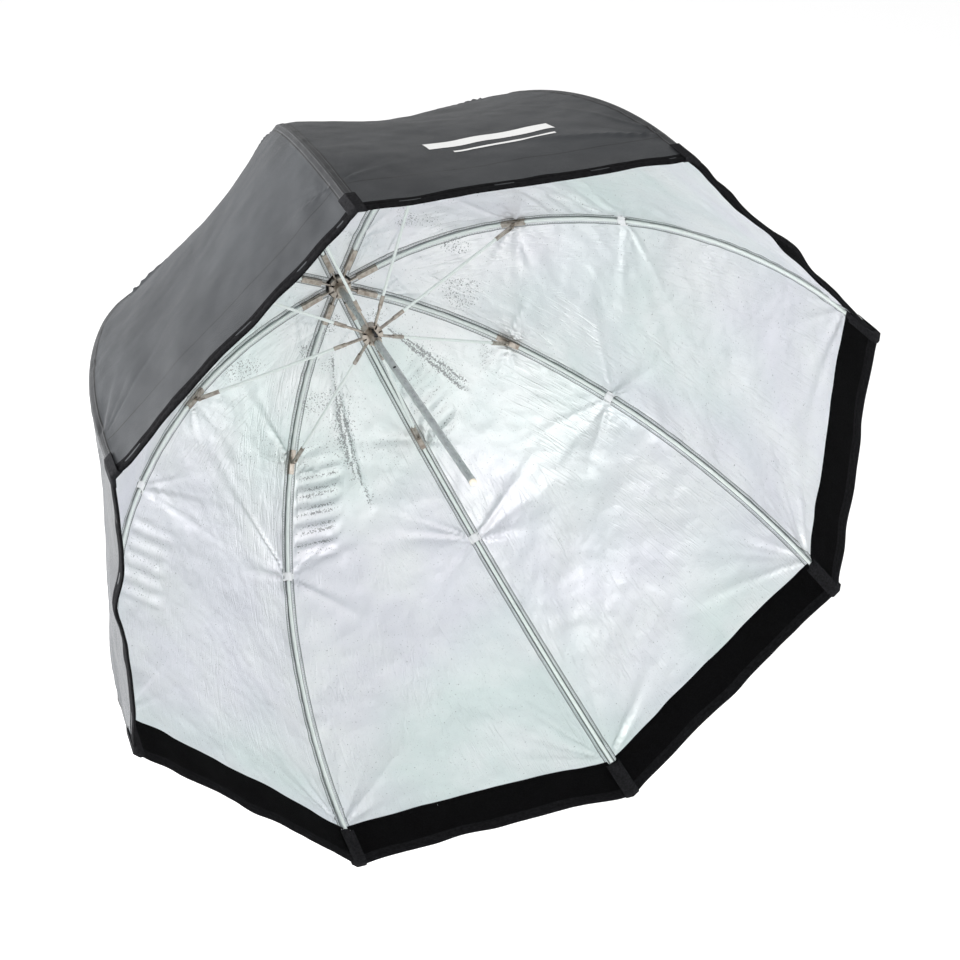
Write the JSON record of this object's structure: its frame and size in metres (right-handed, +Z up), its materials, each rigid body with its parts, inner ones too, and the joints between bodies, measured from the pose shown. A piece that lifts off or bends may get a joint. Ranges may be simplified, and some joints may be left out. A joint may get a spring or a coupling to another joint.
{
  "type": "octabox",
  "caption": "Umbrella-type octagonal softbox: hinged ribs and stretchers on a steel shaft with a sliding runner, under a deep cloth canopy with silver lining.",
  "frame": {"origin": "on the shaft's axis, in the middle of its free stretch where a lamp head or bracket clamps it", "axes": "+Z up with a flat gore on top, -Y along the shaft and out of the open mouth, +X to the right seen from the mouth"},
  "size_m": [0.7452, 0.5239, 0.7452],
  "materials": {
    "steel": "satin drawn steel",
    "nickel": "nickel plated, slightly warm",
    "tip": "moulded cream plastic",
    "black_metal": "black satin",
    "glassfibre": "translucent white pultruded rod",
    "cap": "moulded black plastic",
    "cloth": "black nylon outside, silver coated inside"
  },
  "bodies": {
    "shaft_frame": {"shaft": "steel", "shaft_tip_cap": "tip", "notch": "nickel", "notch_wire": "steel", "rear_cap": "cap"},
    "runner_slider": {"runner": "nickel", "runner_wire": "steel"},
    "catch": {"runner_catch": "black_metal"},
    "rib_1": {"rib_fittings_1": "nickel", "rib_rod_1": "glassfibre", "crown_panel_1": "cloth"},
    "rib_tip_1": {"rib_tip_rod_1": "glassfibre", "side_panel_1": "cloth"},
    "stretcher_arm_1": {"stretcher_1": "glassfibre"},
    "rib_2": {"rib_fittings_2": "nickel", "rib_rod_2": "glassfibre", "crown_panel_2": "cloth"},
    "rib_tip_2": {"rib_tip_rod_2": "glassfibre", "side_panel_2": "cloth"},
    "stretcher_arm_2": {"stretcher_2": "glassfibre"},
    "rib_3": {"rib_fittings_3": "nickel", "rib_rod_3": "glassfibre", "crown_panel_3": "cloth"},
    "rib_tip_3": {"rib_tip_rod_3": "glassfibre", "side_panel_3": "cloth"},
    "stretcher_arm_3": {"stretcher_3": "glassfibre"},
    "rib_4": {"rib_fittings_4": "nickel", "rib_rod_4": "glassfibre", "crown_panel_4": "cloth"},
    "rib_tip_4": {"rib_tip_rod_4": "glassfibre", "side_panel_4": "cloth"},
    "stretcher_arm_4": {"stretcher_4": "glassfibre"},
    "rib_5": {"rib_fittings_5": "nickel", "rib_rod_5": "glassfibre", "crown_panel_5": "cloth"},
    "rib_tip_5": {"rib_tip_rod_5": "glassfibre", "side_panel_5": "cloth"},
    "stretcher_arm_5": {"stretcher_5": "glassfibre"},
    "rib_6": {"rib_fittings_6": "nickel", "rib_rod_6": "glassfibre", "crown_panel_6": "cloth"},
    "rib_tip_6": {"rib_tip_rod_6": "glassfibre", "side_panel_6": "cloth"},
    "stretcher_arm_6": {"stretcher_6": "glassfibre"},
    "rib_7": {"rib_fittings_7": "nickel", "rib_rod_7": "glassfibre", "crown_panel_7": "cloth"},
    "rib_tip_7": {"rib_tip_rod_7": "glassfibre", "side_panel_7": "cloth"},
    "stretcher_arm_7": {"stretcher_7": "glassfibre"},
    "rib_8": {"rib_fittings_8": "nickel", "rib_rod_8": "glassfibre", "crown_panel_8": "cloth"},
    "rib_tip_8": {"rib_tip_rod_8": "glassfibre", "side_panel_8": "cloth"},
    "stretcher_arm_8": {"stretcher_8": "glassfibre"}
  },
  "joints": [
    {"name": "runner_slide", "type": "slide", "parent": "shaft_frame", "child": "runner_slider", "axis": [0, -1, 0], "range_m": [0, 0.27666]},
    {"name": "catch_lever", "type": "hinge", "parent": "runner_slider", "child": "catch", "pos_m": [0, 0.1926, 0.0074], "axis": [1, 0, 0], "range_deg": [-9, 0], "stiffness_Nm_per_rad": 0.02},
    {"name": "rib_hinge_1", "type": "hinge", "parent": "shaft_frame", "child": "rib_1", "pos_m": [-0.00383, 0.305, 0.00924], "axis": [0.9239, 0, 0.3827], "range_deg": [0, 64.11], "deforming": ["crown_panel_1"]},
    {"name": "rib_flex_1", "type": "hinge", "parent": "rib_1", "child": "rib_tip_1", "pos_m": [-0.08162, 0.24034, 0.19704], "axis": [0.9239, 0, 0.3827], "range_deg": [-36.2, 0], "deforming": ["side_panel_1"]},
    {"name": "stretcher_hinge_1", "type": "hinge", "parent": "rib_1", "child": "stretcher_arm_1", "pos_m": [-0.07549, 0.24383, 0.18225], "axis": [0.9239, 0, 0.3827], "range_deg": [-131.35, 0]},
    {"name": "rib_hinge_2", "type": "hinge", "parent": "shaft_frame", "child": "rib_2", "pos_m": [0.00383, 0.305, 0.00924], "axis": [0.9239, 0, -0.3827], "range_deg": [0, 64.11], "deforming": ["crown_panel_2"]},
    {"name": "rib_flex_2", "type": "hinge", "parent": "rib_2", "child": "rib_tip_2", "pos_m": [0.08162, 0.24034, 0.19704], "axis": [0.9239, 0, -0.3827], "range_deg": [-36.2, 0], "deforming": ["side_panel_2"]},
    {"name": "stretcher_hinge_2", "type": "hinge", "parent": "rib_2", "child": "stretcher_arm_2", "pos_m": [0.07549, 0.24383, 0.18225], "axis": [0.9239, 0, -0.3827], "range_deg": [-131.35, 0]},
    {"name": "rib_hinge_3", "type": "hinge", "parent": "shaft_frame", "child": "rib_3", "pos_m": [0.00924, 0.305, 0.00383], "axis": [0.3827, 0, -0.9239], "range_deg": [0, 64.11], "deforming": ["crown_panel_3"]},
    {"name": "rib_flex_3", "type": "hinge", "parent": "rib_3", "child": "rib_tip_3", "pos_m": [0.19704, 0.24034, 0.08162], "axis": [0.3827, 0, -0.9239], "range_deg": [-36.2, 0], "deforming": ["side_panel_3"]},
    {"name": "stretcher_hinge_3", "type": "hinge", "parent": "rib_3", "child": "stretcher_arm_3", "pos_m": [0.18225, 0.24383, 0.07549], "axis": [0.3827, 0, -0.9239], "range_deg": [-131.35, 0]},
    {"name": "rib_hinge_4", "type": "hinge", "parent": "shaft_frame", "child": "rib_4", "pos_m": [0.00924, 0.305, -0.00383], "axis": [-0.3827, 0, -0.9239], "range_deg": [0, 64.11], "deforming": ["crown_panel_4"]},
    {"name": "rib_flex_4", "type": "hinge", "parent": "rib_4", "child": "rib_tip_4", "pos_m": [0.19704, 0.24034, -0.08162], "axis": [-0.3827, 0, -0.9239], "range_deg": [-36.2, 0], "deforming": ["side_panel_4"]},
    {"name": "stretcher_hinge_4", "type": "hinge", "parent": "rib_4", "child": "stretcher_arm_4", "pos_m": [0.18225, 0.24383, -0.07549], "axis": [-0.3827, 0, -0.9239], "range_deg": [-131.35, 0]},
    {"name": "rib_hinge_5", "type": "hinge", "parent": "shaft_frame", "child": "rib_5", "pos_m": [0.00383, 0.305, -0.00924], "axis": [-0.9239, 0, -0.3827], "range_deg": [0, 64.11], "deforming": ["crown_panel_5"]},
    {"name": "rib_flex_5", "type": "hinge", "parent": "rib_5", "child": "rib_tip_5", "pos_m": [0.08162, 0.24034, -0.19704], "axis": [-0.9239, 0, -0.3827], "range_deg": [-36.2, 0], "deforming": ["side_panel_5"]},
    {"name": "stretcher_hinge_5", "type": "hinge", "parent": "rib_5", "child": "stretcher_arm_5", "pos_m": [0.07549, 0.24383, -0.18225], "axis": [-0.9239, 0, -0.3827], "range_deg": [-131.35, 0]},
    {"name": "rib_hinge_6", "type": "hinge", "parent": "shaft_frame", "child": "rib_6", "pos_m": [-0.00383, 0.305, -0.00924], "axis": [-0.9239, 0, 0.3827], "range_deg": [0, 64.11], "deforming": ["crown_panel_6"]},
    {"name": "rib_flex_6", "type": "hinge", "parent": "rib_6", "child": "rib_tip_6", "pos_m": [-0.08162, 0.24034, -0.19704], "axis": [-0.9239, 0, 0.3827], "range_deg": [-36.2, 0], "deforming": ["side_panel_6"]},
    {"name": "stretcher_hinge_6", "type": "hinge", "parent": "rib_6", "child": "stretcher_arm_6", "pos_m": [-0.07549, 0.24383, -0.18225], "axis": [-0.9239, 0, 0.3827], "range_deg": [-131.35, 0]},
    {"name": "rib_hinge_7", "type": "hinge", "parent": "shaft_frame", "child": "rib_7", "pos_m": [-0.00924, 0.305, -0.00383], "axis": [-0.3827, 0, 0.9239], "range_deg": [0, 64.11], "deforming": ["crown_panel_7"]},
    {"name": "rib_flex_7", "type": "hinge", "parent": "rib_7", "child": "rib_tip_7", "pos_m": [-0.19704, 0.24034, -0.08162], "axis": [-0.3827, 0, 0.9239], "range_deg": [-36.2, 0], "deforming": ["side_panel_7"]},
    {"name": "stretcher_hinge_7", "type": "hinge", "parent": "rib_7", "child": "stretcher_arm_7", "pos_m": [-0.18225, 0.24383, -0.07549], "axis": [-0.3827, 0, 0.9239], "range_deg": [-131.35, 0]},
    {"name": "rib_hinge_8", "type": "hinge", "parent": "shaft_frame", "child": "rib_8", "pos_m": [-0.00924, 0.305, 0.00383], "axis": [0.3827, 0, 0.9239], "range_deg": [0, 64.11], "deforming": ["crown_panel_8"]},
    {"name": "rib_flex_8", "type": "hinge", "parent": "rib_8", "child": "rib_tip_8", "pos_m": [-0.19704, 0.24034, 0.08162], "axis": [0.3827, 0, 0.9239], "range_deg": [-36.2, 0], "deforming": ["side_panel_8"]},
    {"name": "stretcher_hinge_8", "type": "hinge", "parent": "rib_8", "child": "stretcher_arm_8", "pos_m": [-0.18225, 0.24383, 0.07549], "axis": [0.3827, 0, 0.9239], "range_deg": [-131.35, 0]}
  ],
  "couplings": [
    {"joint": "rib_hinge_1", "follows": "runner_slide", "rad_per_m": 4.0319},
    {"joint": "rib_flex_1", "follows": "runner_slide", "rad_per_m": -2.2711},
    {"joint": "stretcher_hinge_1", "follows": "runner_slide", "rad_per_m": -8.2737},
    {"joint": "rib_hinge_2", "follows": "runner_slide", "rad_per_m": 4.0319},
    {"joint": "rib_flex_2", "follows": "runner_slide", "rad_per_m": -2.2711},
    {"joint": "stretcher_hinge_2", "follows": "runner_slide", "rad_per_m": -8.2737},
    {"joint": "rib_hinge_3", "follows": "runner_slide", "rad_per_m": 4.0319},
    {"joint": "rib_flex_3", "follows": "runner_slide", "rad_per_m": -2.2711},
    {"joint": "stretcher_hinge_3", "follows": "runner_slide", "rad_per_m": -8.2737},
    {"joint": "rib_hinge_4", "follows": "runner_slide", "rad_per_m": 4.0319},
    {"joint": "rib_flex_4", "follows": "runner_slide", "rad_per_m": -2.2711},
    {"joint": "stretcher_hinge_4", "follows": "runner_slide", "rad_per_m": -8.2737},
    {"joint": "rib_hinge_5", "follows": "runner_slide", "rad_per_m": 4.0319},
    {"joint": "rib_flex_5", "follows": "runner_slide", "rad_per_m": -2.2711},
    {"joint": "stretcher_hinge_5", "follows": "runner_slide", "rad_per_m": -8.2737},
    {"joint": "rib_hinge_6", "follows": "runner_slide", "rad_per_m": 4.0319},
    {"joint": "rib_flex_6", "follows": "runner_slide", "rad_per_m": -2.2711},
    {"joint": "stretcher_hinge_6", "follows": "runner_slide", "rad_per_m": -8.2737},
    {"joint": "rib_hinge_7", "follows": "runner_slide", "rad_per_m": 4.0319},
    {"joint": "rib_flex_7", "follows": "runner_slide", "rad_per_m": -2.2711},
    {"joint": "stretcher_hinge_7", "follows": "runner_slide", "rad_per_m": -8.2737},
    {"joint": "rib_hinge_8", "follows": "runner_slide", "rad_per_m": 4.0319},
    {"joint": "rib_flex_8", "follows": "runner_slide", "rad_per_m": -2.2711},
    {"joint": "stretcher_hinge_8", "follows": "runner_slide", "rad_per_m": -8.2737}
  ]
}
